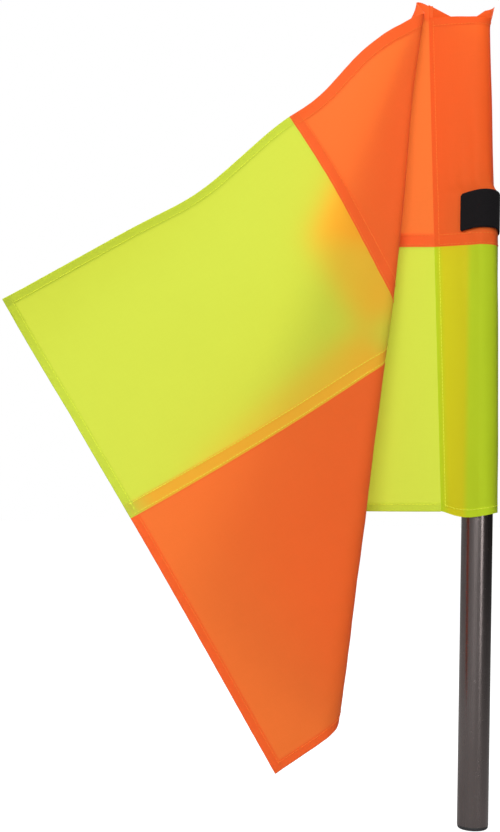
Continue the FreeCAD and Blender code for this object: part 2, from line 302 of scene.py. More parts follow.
def settled_normal(along, down):
    run = settled_point(along + PROBE, down) - settled_point(along - PROBE, down)
    fall = settled_point(along, down + PROBE) - settled_point(along, down - PROBE)
    normal = np.cross(run, fall)
    return normal / np.maximum(np.linalg.norm(normal, axis=-1, keepdims=True), 1e-12)


def ripple(along, down):
    """How far the cloth stands off its settled surface: puckers beside seams, and a slow unevenness."""
    pucker = 0.0
    for distance, run in (
        (np.abs(along - QUARTER), down),
        (np.abs(down - UPPER), along),
        (down, along * 1.1),
        (FLY - along, down * 1.1),
        (HOIST - down, along),
    ):
        wave = np.sin(run / (2.3 * MM) + 1.7 * np.sin(run / (9 * MM)) + 40 * distance)
        pucker = pucker + PUCKER * np.exp(-distance / (5 * MM)) * wave
    slow = np.sin(along / (31 * MM) + 1.3 * np.sin(down / (47 * MM)))
    slow = slow * np.sin(down / (39 * MM) + 0.8 * np.sin(along / (53 * MM)))
    return pucker + SLOW_SWELL * slow * np.clip(along / (40 * MM), 0, 1)


def cloth_at(along, down, off=0.0):
    """Points of the finished cloth, off it by a distance towards its outer face."""
    inside_along = np.clip(along, 0.0, FLY)
    inside_down = np.clip(down, 0.0, HOIST)
    point = settled_point(inside_along, inside_down)
    point[..., 0] += inside_along - along
    normal = settled_normal(np.clip(along, MM, FLY - MM), np.clip(down, MM, HOIST - MM))
    return point + normal * (off + ripple(inside_along, inside_down))[..., None]


# ------------------------------ materials
def feed(tree, value, socket):
    """Give a socket what another socket gives, a colour, or a number; None leaves it as it is."""
    if isinstance(value, bpy.types.NodeSocket):
        tree.links.new(value, socket)
    elif isinstance(value, tuple):
        socket.default_value = (*value, 1)
    elif value is not None:
        socket.default_value = value


def new_material(name):
    material = bpy.data.materials.new(name)
    material.use_nodes = True
    material.node_tree.nodes.clear()
    return material, material.node_tree


def mixed(tree, share, low, high):
    """A colour between two, by a share that a socket gives."""
    mix = tree.nodes.new("ShaderNodeMix")
    mix.data_type = "RGBA"
    feed(tree, share, mix.inputs["Factor"])
    feed(tree, low, mix.inputs["A"])
    feed(tree, high, mix.inputs["B"])
    return mix.outputs["Result"]


def scaled(tree, vector, scale):
    product = tree.nodes.new("ShaderNodeVectorMath")
    product.operation = "MULTIPLY"
    feed(tree, vector, product.inputs[0])
    product.inputs[1].default_value = scale
    return product.outputs["Vector"]


def wave_of(tree, vector, scale, direction, distortion=0.0):
    wave = tree.nodes.new("ShaderNodeTexWave")
    wave.wave_type = "BANDS"
    wave.bands_direction = direction
    wave.inputs["Scale"].default_value = scale
    wave.inputs["Distortion"].default_value = distortion
    feed(tree, vector, wave.inputs["Vector"])
    return wave.outputs["Fac"]


def noise_of(tree, vector, scale, detail=3.0, roughness=0.55):
    noise = tree.nodes.new("ShaderNodeTexNoise")
    noise.inputs["Scale"].default_value = scale
    noise.inputs["Detail"].default_value = detail
    noise.inputs["Roughness"].default_value = roughness
    feed(tree, vector, noise.inputs["Vector"])
    return noise.outputs["Fac"]


def math_of(tree, operation, *values):
    made = tree.nodes.new("ShaderNodeMath")
    made.operation = operation
    for socket, value in zip(made.inputs, values):
        feed(tree, value, socket)
    return made.outputs[0]


def weighted(tree, start, *parts):
    """A number plus sockets, each times its weight."""
    total = start
    for socket, weight in parts:
        total = math_of(tree, "MULTIPLY_ADD", socket, weight, total)
    return total


def bump_of(tree, height, strength, distance):
    made = tree.nodes.new("ShaderNodeBump")
    made.inputs["Strength"].default_value = strength
    made.inputs["Distance"].default_value = distance
    feed(tree, height, made.inputs["Height"])
    return made.outputs["Normal"]


def attribute_of(tree, name):
    made = tree.nodes.new("ShaderNodeAttribute")
    made.attribute_name = name
    return made


def flat_vector(tree):
    """The flat cloth's own coordinates, which every cloth mesh carries."""
    return attribute_of(tree, "flat").outputs["Vector"]


def object_vector(tree):
    return tree.nodes.new("ShaderNodeTexCoord").outputs["Object"]


def surface_of(tree, colour, normal, roughness, specular=0.5, sheen=0.0):
    surface = tree.nodes.new("ShaderNodeBsdfPrincipled")
    feed(tree, colour, surface.inputs["Base Color"])
    feed(tree, normal, surface.inputs["Normal"])
    feed(tree, roughness, surface.inputs["Roughness"])
    feed(tree, specular, surface.inputs["Specular IOR Level"])
    feed(tree, sheen, surface.inputs["Sheen Weight"])
    return surface


def finish_surface(tree, shader):
    output = tree.nodes.new("ShaderNodeOutputMaterial")
    feed(tree, shader.outputs[0], output.inputs["Surface"])


def times(colour, factor, more=0.0):
    """A colour made lighter or darker."""
    return tuple(min(1.0, part * factor + more) for part in colour)


def bands(width):
    """The wave texture's scale at which its bands are this wide."""
    return math.pi / width / 10


YARN = 0.45 * MM


def cloth_material(name, lit, through, translucency, painted_through_light=None):
    """Thin plain-woven fluorescent cloth: part of the light goes through it."""
    material, tree = new_material(name)
    flat = flat_vector(tree)
    warp = wave_of(tree, flat, bands(YARN), "X", 0.4)
    weft = wave_of(tree, flat, bands(YARN), "Y", 0.4)
    weave = math_of(tree, "MAXIMUM", warp, weft)
    slub = noise_of(tree, scaled(tree, flat, (60, 900, 1)), 1.0, 2.0)
    cross_slub = noise_of(tree, scaled(tree, flat, (900, 60, 1)), 1.0, 2.0)
    cloud = noise_of(tree, flat, 14.0, 4.0)
    tone = weighted(tree, 0.0, (slub, 0.35), (cross_slub, 0.35), (cloud, 0.4))
    colour = mixed(tree, tone, times(lit, 0.93), times(lit, 1.05, 0.004))
    passing = through
    # painted light: where a piece says how much orange lies behind it, the light coming through those
    # layers is painted into the colour and into the colour that passes through
    if painted_through_light:
        painted_through_share = attribute_of(tree, "behind").outputs["Fac"]
        colour = mixed(tree, painted_through_share, colour, painted_through_light)
        passing = mixed(tree, painted_through_share, through, painted_through_light)
    normal = bump_of(tree, weighted(tree, 0.0, (weave, 0.5), (tone, 0.6)), 0.35, 0.12 * MM)
    face = surface_of(tree, colour, normal, 0.72, specular=0.18, sheen=0.08)
    face.inputs["Sheen Roughness"].default_value = 0.4
    glow = tree.nodes.new("ShaderNodeBsdfTranslucent")
    feed(tree, passing, glow.inputs["Color"])
    feed(tree, normal, glow.inputs["Normal"])
    mix = tree.nodes.new("ShaderNodeMixShader")
    feed(tree, translucency, mix.inputs["Fac"])
    feed(tree, face.outputs["BSDF"], mix.inputs[1])
    feed(tree, glow.outputs["BSDF"], mix.inputs[2])
    finish_surface(tree, mix)
    return material


def thread_material(name, colour):
    material, tree = new_material(name)
    place = object_vector(tree)
    twist = wave_of(tree, place, 900.0, "DIAGONAL", 0.6)
    fuzz = noise_of(tree, place, 2500.0, 2.0)
    tone = weighted(tree, 0.0, (twist, 0.6), (fuzz, 0.4))
    base = mixed(tree, tone, times(colour, 0.8), colour)
    relief = bump_of(tree, tone, 0.5, 0.08 * MM)
    finish_surface(tree, surface_of(tree, base, relief, 0.8, specular=0.1))
    return material


def webbing_material(name, colour, rib):
    """Black woven tape: ribs along it, crossed by finer yarns, with a worn dusty bloom."""
    material, tree = new_material(name)
    flat = flat_vector(tree)
    ribs = wave_of(tree, flat, bands(rib), "X", 0.5)
    yarns = wave_of(tree, flat, bands(rib * 0.6), "Y", 0.5)
    weave = math_of(tree, "MULTIPLY", ribs, yarns)
    dust = noise_of(tree, flat, 160.0, 5.0, 0.7)
    tone = weighted(tree, 0.0, (weave, 0.5), (dust, 0.5))
    base = mixed(tree, tone, colour, times(colour, 2.4, 0.002))
    relief = bump_of(tree, weave, 0.7, 0.2 * MM)
    finish_surface(tree, surface_of(tree, base, relief, 0.86, specular=0.12, sheen=0.02))
    return material


def tape_material(name, colour, scale):
    """Hook or loop tape: a field of small bristles or loops."""
    material, tree = new_material(name)
    place = object_vector(tree)
    cells = tree.nodes.new("ShaderNodeTexVoronoi")
    cells.inputs["Scale"].default_value = scale
    feed(tree, place, cells.inputs["Vector"])
    fuzz = noise_of(tree, place, scale * 1.7, 3.0)
    tone = math_of(tree, "MULTIPLY", cells.outputs["Distance"], fuzz)
    base = mixed(tree, tone, colour, times(colour, 3))
    finish_surface(tree, surface_of(tree, base, bump_of(tree, tone, 1.0, 0.4 * MM), 0.85))
    return material


def metal_material(name):
    """Dark anodised tube: fine draw lines along it, and small scuffs that are lighter and duller."""
    material, tree = new_material(name)
    place = object_vector(tree)
    draw_lines = noise_of(tree, scaled(tree, place, (900, 900, 9)), 1.0, 4.0, 0.7)
    patches = noise_of(tree, scaled(tree, place, (60, 60, 22)), 1.0, 4.0, 0.6)
    scuffs = noise_of(tree, scaled(tree, place, (300, 300, 300)), 1.0, 6.0, 0.75)
    ramp = tree.nodes.new("ShaderNodeValToRGB")
    ramp.color_ramp.elements[0].position = 0.64
    ramp.color_ramp.elements[1].position = 0.72
    feed(tree, scuffs, ramp.inputs["Fac"])
    scuffed = ramp.outputs["Color"]
    base = mixed(tree, patches, (0.17, 0.143, 0.138), (0.225, 0.192, 0.187))
    base = mixed(tree, math_of(tree, "MULTIPLY", scuffed, 0.35), base, (0.36, 0.33, 0.32))
    rough = weighted(tree, 0.19, (draw_lines, 0.14), (scuffed, 0.15))
    surface = surface_of(tree, base, bump_of(tree, draw_lines, 0.12, 0.05 * MM), rough)
    surface.inputs["Metallic"].default_value = 1.0
    finish_surface(tree, surface)
    return material


def plastic_material(name, colour):
    material, tree = new_material(name)
    place = object_vector(tree)
    grain = noise_of(tree, place, 1400.0, 3.0)
    scuffs = noise_of(tree, place, 130.0, 6.0, 0.75)
    base = mixed(tree, scuffs, colour, times(colour, 2.6))
    rough = weighted(tree, 0.35, (scuffs, 0.35))
    finish_surface(tree, surface_of(tree, base, bump_of(tree, grain, 0.3, 0.06 * MM), rough))
    return material


ORANGE = cloth_material("orange_cloth_look", (0.86, 0.165, 0.028), (1.0, 0.21, 0.03), 0.45)
# painted shade: the sleeve's cloth is a darker, more saturated copy of the flag's cloth, standing in for
# the shade of its doubled layers
SLEEVE_ORANGE_SHADED = cloth_material("sleeve_orange_shaded_look", (0.80, 0.135, 0.018), (0.98, 0.2, 0.02), 0.42)
SLEEVE_YELLOW_SHADED = cloth_material(
    "sleeve_yellow_shaded_look", (0.55, 0.74, 0.018), (0.76, 0.76, 0.010), 0.45, painted_through_light=(0.86, 0.62, 0.006)
)
YELLOW = cloth_material(
    "yellow_cloth_look", (0.60, 0.74, 0.068), (0.77, 0.75, 0.045), 0.45, painted_through_light=(0.96, 0.49, 0.03)
)
ORANGE_THREAD = thread_material("orange_thread_look", (1.0, 0.26, 0.04))
YELLOW_THREAD = thread_material("yellow_thread_look", (0.92, 0.98, 0.08))
BLACK_THREAD = thread_material("black_thread_look", (0.015, 0.013, 0.015))
WEBBING = webbing_material("webbing_look", (0.0025, 0.002, 0.0025), 1.1 * MM)
LOOP_TAPE = tape_material("loop_tape_look", (0.012, 0.011, 0.012), 1600.0)
HOOK_TAPE = tape_material("hook_tape_look", (0.010, 0.010, 0.010), 900.0)
METAL = metal_material("dark_metal_look")
PLUG = plastic_material("plug_plastic_look", (0.012, 0.012, 0.013))


def dress(piece, material):
    """Give a piece its material."""
    piece.data.materials.clear()
    piece.data.materials.append(material)


# ------------------------------ sheets of the flag
CLOTH_STEP = 2.2 * MM
TUCK = 4 * MM
ALLOWANCE = 11 * MM
HEM = 7 * MM
TOP_HEM = 9 * MM
HEM_ROW = 1.5 * MM
SEAM_ROW = 1.6 * MM
EDGE_ROW = 9.4 * MM


def flat_places(along, down):
    """Flat positions as the points' own coordinates."""
    return np.stack([along, down, np.zeros_like(along)], axis=-1)


def patch_mesh(name, points, flat, flip=False):
    """A mesh from a grid of points and their flat positions."""
    faces = grid_faces(*points.shape[:2], flip=flip)
    return make_mesh(name, points.reshape(-1, 3), faces, flat.reshape(-1, 3))


def cloth_patch(name, along_range, down_range, off=0.0):
    """A single-layer patch of cloth over a range of flat positions."""
    along = spaced(*along_range, CLOTH_STEP)
    down = spaced(*down_range, CLOTH_STEP)
    a, d = np.meshgrid(along, down, indexing="ij")
    return patch_mesh(name, cloth_at(a, d, np.full_like(a, off)), flat_places(a, d))


LIGHT_SPREAD = 9 * MM
LIGHT_FADE = 60 * MM


def orange_behind(points):
    """How much orange cloth hangs behind each point, from 0 to 1, blurred as light spreads between."""
    flat_angle = np.degrees(np.arctan2(grid_along + APEX_INBOARD, grid_down + APEX_ABOVE))
    hidden = (flat_angle < FOLDS[1][0]) & ((grid_along < QUARTER) == (grid_down < UPPER))
    behind = shape[hidden]
    share = np.zeros(len(points))
    patch = SIM_STEP**2 / (2 * math.pi * LIGHT_SPREAD**2)
    for start in range(0, len(points), 500):
        some = points[start : start + 500]
        gap = behind[None, :, 1] - some[:, None, 1]
        apart = some[:, None, :] - behind[None, :, :]
        apart = apart[..., 0] ** 2 + apart[..., 2] ** 2
        seen = np.exp(-apart / (2 * LIGHT_SPREAD**2)) * np.exp(-np.abs(gap) / LIGHT_FADE) * (gap > MM)
        share[start : start + 500] = seen.sum(axis=1) * patch
    return np.clip(share, 0, 1)


def add_painted_through_light(piece, painted_through_share):
    """Say at each point how much light through a layer behind it is painted into the colour."""
    attribute = piece.data.attributes.new("behind", "FLOAT", "POINT")
    attribute.data.foreach_set("value", painted_through_share.astype(np.float32))


def vertex_places(piece):
    return np.array([vertex.co for vertex in piece.data.vertices])


ROLL = 0.35 * MM
HEM_STEP = 2.5 * MM


def folded_strip(name, path, length_range, width):
    """A turned hem: it goes round the cloth's edge and lies against its back for the hem's width.

    path maps a run along the edge and a distance in from it to flat positions.
    """
    run = spaced(*length_range, HEM_STEP)
    # distance in from the edge, and how far off the cloth, round the fold and back
    profile = [(0.0, 0.05 * MM), (-ROLL, -0.15 * MM), (-0.3 * ROLL, -ROLL * 1.6)]
    for share in (0.15, 0.4, 0.7, 0.95):
        profile.append((width * share, -ROLL - 0.12 * MM * math.sin(math.pi * share)))
    profile.append((width, -0.04 * MM))
    columns = []
    flats = []
    for distance, off in profile:
        a, d = path(run, max(distance, 0.0))
        points = cloth_at(a, d, np.full_like(a, off))
        if distance < 0:
            back_a, back_d = path(run, MM)
            outward = points - cloth_at(back_a, back_d, np.full_like(a, off))
            outward /= np.maximum(np.linalg.norm(outward, axis=-1, keepdims=True), 1e-9)
            points = points + outward * (-distance)
        columns.append(points)
        flats.append(flat_places(a, d))
    return patch_mesh(name, np.stack(columns, axis=1), np.stack(flats, axis=1))


STITCH_PITCH = 2.9 * MM
STITCH_RADIUS = 0.2 * MM
STITCH_SIDES = 6
STITCH_RINGS = [
    # place along the stitch, share of the thread's radius, height over the cloth in radii
    (-0.5, 0.25, -0.1),
    (-0.36, 0.8, 0.25),
    (0.0, 1.0, 0.6),
    (0.36, 0.8, 0.25),
    (0.5, 0.25, -0.1),
]


def stitches(name, point_at, line, length_range, faces=(1, -1), pitch=STITCH_PITCH):
    """A row of single stitches along a line, on one or both faces of the cloth."""
    start, stop = length_range
    count = int((stop - start) / pitch)
    middles = start + (np.arange(count) + 0.5) * pitch
    points = []
    faces_made = []
    length = pitch * 0.82
    for face in faces:
        shift = 0.0 if face > 0 else pitch * 0.5
        for place, ring_radius, height in STITCH_RINGS:
            a, d = line(middles + shift + place * length)
            lift = face * (0.1 * MM + STITCH_RADIUS * height)
            centre = point_at(a, d, np.full_like(a, lift))
            a_next, d_next = line(middles + shift + place * length + 0.4 * MM)
            ahead = point_at(a_next, d_next, np.full_like(a, lift)) - centre
            ahead /= np.linalg.norm(ahead, axis=-1, keepdims=True)
            off = point_at(a, d, np.full_like(a, lift + face * MM)) - centre
            off /= np.linalg.norm(off, axis=-1, keepdims=True)
            side = np.cross(ahead, off)
            for number in range(STITCH_SIDES):
                turn = 2 * math.pi * number / STITCH_SIDES
                spoke = side * math.cos(turn) + off * math.sin(turn)
                points.append(centre + spoke * STITCH_RADIUS * ring_radius)
    rings = len(STITCH_RINGS)
    stacked = np.stack(points, axis=0).reshape(len(faces), rings, STITCH_SIDES, count, 3)
    stacked = stacked.transpose(0, 3, 1, 2, 4).reshape(-1, 3)
    for stitch in range(len(faces) * count):
        base = stitch * rings * STITCH_SIDES
        for ring in range(rings - 1):
            for number in range(STITCH_SIDES):
                following = (number + 1) % STITCH_SIDES
                low = base + ring * STITCH_SIDES
                high = low + STITCH_SIDES
                faces_made.append((low + number, low + following, high + following, high + number))
        faces_made.append(tuple(base + number for number in reversed(range(STITCH_SIDES))))
        last = base + (rings - 1) * STITCH_SIDES
        faces_made.append(tuple(last + number for number in range(STITCH_SIDES)))
    return make_mesh(name, stacked, faces_made)


def hang_on_flag(piece, crosses_hinge):
    """A piece of the flag rides on it; one that crosses the hinge beside the sleeve has its place baked
    into its points and rides on no body.
    """
    if crosses_hinge:
        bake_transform(piece)
    else:
        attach(piece, "flag")


QUARTERS = {
    # range along, range down, material, slot
    "hoist_upper": ((-TUCK, QUARTER), (0.0, UPPER), ORANGE, "orange_cloth"),
    "hoist_lower": ((-TUCK, QUARTER), (UPPER, HOIST), YELLOW, "yellow_cloth"),
    "fly_upper": ((QUARTER, FLY), (0.0, UPPER), YELLOW, "yellow_cloth"),
    "fly_lower": ((QUARTER, FLY), (UPPER, HOIST), ORANGE, "orange_cloth"),
}
# painted light through the orange allowance behind the fly's seam, fading near the fly's edge
BAND_PAINTED_THROUGH = 0.72
BAND_FADE = 24 * MM
for quarter, (along_range, down_range, material, slot) in QUARTERS.items():
    piece = cloth_patch(f"cloth_{quarter}", along_range, down_range)
    if quarter == "fly_upper":
        flat = np.empty(len(piece.data.vertices) * 3, dtype=np.float32)
        piece.data.attributes["flat"].data.foreach_get("vector", flat)
        flat = flat.reshape(-1, 3)
        # painted light: the allowance of orange cloth behind the lower seam is painted as shining through
        # too
        on_band = (flat[:, 1] > UPPER - ALLOWANCE) * smooth_step((FLY - flat[:, 0]) / BAND_FADE)
        add_painted_through_light(piece, np.maximum(orange_behind(vertex_places(piece)), BAND_PAINTED_THROUGH * on_band))
    dress(piece, material)
    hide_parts(f"{quarter}_panel")
    hang_on_flag(piece, quarter.startswith("hoist"))

extras = {quarter: [] for quarter in QUARTERS}


def add_extra(quarter, piece, material, crosses_hinge):
    dress(piece, material)
    hang_on_flag(piece, crosses_hinge)
    extras[quarter].append(piece)


def top_edge(run, distance):
    return run, np.full_like(run, distance)


def foot_edge(run, distance):
    return run, np.full_like(run, HOIST - distance)


def fly_edge(run, distance):
    return np.full_like(run, FLY - distance), run


def line_down(along):
    """A line that runs down the cloth at one place along it."""
    return lambda run: (np.full_like(run, along), run)


def line_along(down):
    """A line that runs along the cloth at one place down it."""
    return lambda run: (run, np.full_like(run, down))


HEMS = [
    # name, quarter, edge, run, width
    ("top_hoist", "hoist_upper", top_edge, (0.0, QUARTER), TOP_HEM),
    ("top_fly", "fly_upper", top_edge, (QUARTER, FLY), HEM),
    ("fly_upper", "fly_upper", fly_edge, (0.0, UPPER), HEM),
    ("fly_lower", "fly_lower", fly_edge, (UPPER, HOIST), HEM),
    ("foot_hoist", "hoist_lower", foot_edge, (0.0, QUARTER), HEM),
    ("foot_fly", "fly_lower", foot_edge, (QUARTER, FLY), HEM),
]
for name, quarter, edge, run, width in HEMS:
    _, _, material, slot = QUARTERS[quarter]
    beside = quarter.startswith("hoist")
    add_extra(quarter, folded_strip(f"hem_{name}", edge, run, width), material, beside)
    row = stitches(
        f"stitches_hem_{name}",
        cloth_at,
        lambda s, edge=edge, width=width: edge(s, width - HEM_ROW),
        (run[0] + 3 * MM, run[1] - 3 * MM),
    )
    add_extra(quarter, row, ORANGE_THREAD if material is ORANGE else YELLOW_THREAD, beside)

# seam allowances lie behind the cloth, and two rows of stitches hold each
ALLOWANCES = [
    # name, quarter, range along, range down, beside the sleeve
    ("upright_upper", "hoist_upper", (QUARTER - ALLOWANCE, QUARTER), (0.0, UPPER), False),
    ("upright_lower", "fly_lower", (QUARTER, QUARTER + ALLOWANCE), (UPPER, HOIST), False),
    ("level_hoist", "hoist_upper", (0.0, QUARTER), (UPPER - ALLOWANCE, UPPER), True),
    ("level_fly", "fly_upper", (QUARTER, FLY), (UPPER - ALLOWANCE, UPPER), False),
]
for name, quarter, along_range, down_range, beside in ALLOWANCES:
    for layer, depth in enumerate((0.45 * MM, 0.85 * MM), start=1):
        band = cloth_patch(f"allowance_{name}_{layer}", along_range, down_range, -depth)
        add_extra(quarter, band, ORANGE, beside)

SEAMS = [
    # name, quarter, which way, seam line, side of it, run, beside the sleeve, thread
    ("upright_upper", "hoist_upper", line_down, QUARTER, -1, (0.0, UPPER), False, ORANGE_THREAD),
    ("upright_lower", "fly_lower", line_down, QUARTER, 1, (UPPER, HOIST), False, ORANGE_THREAD),
    ("level_hoist", "hoist_upper", line_along, UPPER, -1, (0.0, QUARTER), True, ORANGE_THREAD),
    ("level_fly", "fly_upper", line_along, UPPER, -1, (QUARTER, FLY), False, YELLOW_THREAD),
]
for name, quarter, line, seam, side, run, beside, thread in SEAMS:
    for ending, inset in (("", SEAM_ROW), ("_edge", EDGE_ROW)):
        row_line = line(seam + side * inset)
        row = stitches(f"stitches_{name}{ending}", cloth_at, row_line, (run[0] + 2 * MM, run[1] - 2 * MM))
        add_extra(quarter, row, thread, beside)


# ------------------------------ sleeve
def section(height):
    """Tip, centre, half width and half depth of the sleeve's middle surface, at heights."""
    up = np.clip((height - GRIP_TOP) / (CLOTH_TOP - GRIP_TOP), 0, None)
    low = np.clip((GRIP_FOOT - height) / (GRIP_FOOT - CLOTH_FOOT), 0, None)
    tip = stitch_x(height) + SLEEVE_SKIN
    neck = np.clip((height - GRIP_TOP) / NECK_LENGTH, 0, 1)
    centre = -NECK_SHIFT * neck - (MOUTH_SHIFT - NECK_SHIFT) * up + HEM_SHIFT * low
    half_width = GRIP_RADIUS - SLEEVE_SKIN - MOUTH_NARROWER * up
    half_depth = GRIP_RADIUS - SLEEVE_SKIN - MOUTH_FLATTER * up + HEM_DEEPER * low
    return tip, centre, half_width, half_depth


def section_lengths(tip, centre, half_width, half_depth):
    """Half the round part's angle, and the lengths of a flat wall and of the round part."""
    end = np.arccos(-half_width / (centre - tip))
    wall = np.hypot(centre + half_width * np.cos(end) - tip, half_depth * np.sin(end))
    return end, wall, end * (half_width + half_depth)


GATHER = 0.7 * MM
SOFT_FOLD = 0.45 * MM


def sleeve_wrinkle(turn, height):
    """Outward gathers above and below the strap, and soft folds away from it."""
    above = np.clip(height - STRAP_TOP, 0, None)
    below = np.clip(STRAP_FOOT - height, 0, None)
    gather_above = smooth_step(above / (8 * MM)) * np.exp(-above / (45 * MM))
    gather_below = smooth_step(below / (8 * MM)) * np.exp(-below / (60 * MM))
    wave_above = 0.5 + 0.5 * np.sin(7 * turn + 1.3 + 9 * above)
    wave_below = 0.5 + 0.5 * np.sin(6 * turn + 0.4 - 7 * below)
    slow = 0.5 + 0.5 * np.sin(3 * turn + height / (41 * MM) + 1.1 * np.sin(height / (23 * MM)))
    free = smooth_step(above / (30 * MM)) + smooth_step(below / (30 * MM))
    return GATHER * (gather_above * wave_above + gather_below * wave_below) + SOFT_FOLD * slow * free


LOOP_PARTS = 72
SLEEVE_STEP = 2.5 * MM
MOUTH_DROP = 2.6 * MM
MOUTH_SAG = 2.6 * MM
HORN_RISE = 11.1 * MM
BACK_TIP_RISE = 8.1 * MM
BACK_HORN_RISE = 7.3 * MM
HEM_DROP = 4.6 * MM
MOUTH_ROLL = 4 * MM


def rim_rise(share):
    """How far the mouth's edge stands above or below the cloth's top, round the sleeve."""
    front = -MOUTH_DROP - MOUTH_SAG * bump(share, 0.34, 0.16)
    front = front + HORN_RISE * smooth_step((share - 0.455) / 0.045)
    far = np.clip((share - 0.78) / 0.22, 0, 1)
    near = np.clip((0.70 - share) / 0.13, 0, 1)
    back = BACK_TIP_RISE * far + BACK_HORN_RISE * near
    return np.where(share < 0.5, front, back)


def foot_drop(share):
    """The sleeve's hem hangs a little lower in front than the flag's."""
    return -HEM_DROP * np.sin(math.pi * np.clip(share / 0.5, 0, 1) ** 0.7) ** 2


def sleeve_at(share, down, off):
    """Points of the sleeve. share goes from the tip round the front, the pole and the back to the tip."""
    rise = rim_rise(share) * np.exp(-down / (14 * MM))
    rise = rise + foot_drop(share) * np.exp(-(HOIST - down) / (60 * MM))
    height = CLOTH_TOP - down
    tip, centre, half_width, half_depth = section(height)
    end, wall, arc = section_lengths(tip, centre, half_width, half_depth)
    total = 2 * wall + arc
    run = np.clip(share, 0, 1) * total
    on_front = run < wall
    on_back = run > wall + arc
    turn = -end + (run - wall) / arc * 2 * end
    arc_x = centre + half_width * np.cos(turn)
    arc_y = half_depth * np.sin(turn)
    leave_x = centre + half_width * np.cos(end)
    leave_y = half_depth * np.sin(end)
    front_share = np.clip(run / wall, 0, 1)
    back_share = np.clip((total - run) / wall, 0, 1)
    x = np.where(on_front, tip + (leave_x - tip) * front_share, arc_x)
    y = np.where(on_front, -leave_y * front_share, arc_y)
    x = np.where(on_back, tip + (leave_x - tip) * back_share, x)
    y = np.where(on_back, leave_y * back_share, y)
    normal_x = np.where(on_front | on_back, np.cos(end), np.cos(turn) / half_width)
    normal_y = np.where(on_front, -np.sin(end), np.where(on_back, np.sin(end), np.sin(turn) / half_depth))
    length = np.hypot(normal_x, normal_y)
    flatness = smooth_step(np.minimum(front_share, back_share) * 1.2 - 0.1)
    stand = off + sleeve_wrinkle(turn, height) * np.where(on_front | on_back, flatness, 1.0)
    # the mouth's edge rolls outwards at the side away from the flag
    stand = stand + MOUTH_ROLL * bump(share, 0.51, 0.05) * bump(down, 0, 6 * MM)
    x = x + normal_x / length * stand
    y = y + normal_y / length * stand
    return np.stack([x, y, height + rise], axis=-1)


# the length of cloth once round the sleeve
_, GRIP_WALL, GRIP_ARC = section_lengths(*section(GRIP_FOOT))
LOOP = float(2 * GRIP_WALL + GRIP_ARC)


def sleeve_patch(name, down_range, off=0.0):
    share = np.linspace(0, 1, LOOP_PARTS * 2 + 1)
    down = spaced(*down_range, SLEEVE_STEP)
    s, d = np.meshgrid(share, down, indexing="ij")
    return patch_mesh(name, sleeve_at(s, d, np.full_like(s, off)), flat_places(s * LOOP, d), flip=True)


sleeve_upper = sleeve_patch("sleeve_cloth_upper", (0.0, UPPER))
dress(sleeve_upper, SLEEVE_ORANGE_SHADED)
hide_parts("sleeve_upper")
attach(sleeve_upper, "sleeve")
# how much light through the sleeve's layers is painted into its front
LINED_PAINTED_THROUGH = 0.55
sleeve_lower = sleeve_patch("sleeve_cloth_lower", (UPPER, HOIST))
# painted light: between the tip and the pole, the light that the sleeve's front lets through from what
# lies in it is painted into its colour
places = vertex_places(sleeve_lower)
from_tip = places[:, 0] - stitch_x(places[:, 2])
painted_through_zone = smooth_step(from_tip / (8 * MM)) * smooth_step((-POLE_RADIUS + 4 * MM - places[:, 0]) / (6 * MM))
add_painted_through_light(sleeve_lower, LINED_PAINTED_THROUGH * painted_through_zone * (places[:, 1] < 0))
dress(sleeve_lower, SLEEVE_YELLOW_SHADED)
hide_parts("sleeve_lower")
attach(sleeve_lower, "sleeve")

sleeve_extras = {"upper": [], "lower": []}


def add_to_sleeve(level, piece, material):
    dress(piece, material)
    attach(piece, "sleeve")
    sleeve_extras[level].append(piece)


def sleeve_strip(name, edge, width):
    """The turned hem round one end of the sleeve, on its inner side."""
    share = np.linspace(0, 1, LOOP_PARTS + 1)
    # distance in from the edge, and how far off the cloth
    profile = [(0.0, 0.25 * MM), (0.0, -0.1 * MM), (0.4 * MM, -0.45 * MM)]
    profile += [(width * part, -0.4 * MM) for part in (0.3, 0.6, 0.95)]
    profile.append((width, -0.1 * MM))
    columns = []
    flats = []
    for distance, off in profile:
        s, d = edge(share, distance)
        columns.append(sleeve_at(s, d, np.full_like(s, off)))
        flats.append(flat_places(s * LOOP, d))
    return patch_mesh(name, np.stack(columns, axis=1), np.stack(flats, axis=1))


mouth_hem = sleeve_strip("sleeve_mouth_hem", top_edge, TOP_HEM)
add_to_sleeve("upper", mouth_hem, SLEEVE_ORANGE_SHADED)
foot_hem = sleeve_strip("sleeve_foot_hem", foot_edge, HEM)
add_to_sleeve("lower", foot_hem, SLEEVE_YELLOW_SHADED)
allowance = sleeve_patch("sleeve_allowance", (UPPER - ALLOWANCE, UPPER), -0.2 * MM)
add_to_sleeve("upper", allowance, ORANGE)


def sleeve_row(name, level, down, material):
    row = stitches(
        name,
        sleeve_at,
        lambda s: (s / LOOP, np.full_like(s, down)),
        (4 * MM, LOOP - 4 * MM),
        faces=(1,),
    )
    add_to_sleeve(level, row, material)


sleeve_row("sleeve_stitches_mouth", "upper", TOP_HEM - HEM_ROW, ORANGE_THREAD)
sleeve_row("sleeve_stitches_level", "upper", UPPER - SEAM_ROW, ORANGE_THREAD)
sleeve_row("sleeve_stitches_level_edge", "upper", UPPER - EDGE_ROW, ORANGE_THREAD)
sleeve_row("sleeve_stitches_foot", "lower", HOIST - HEM + HEM_ROW, YELLOW_THREAD)

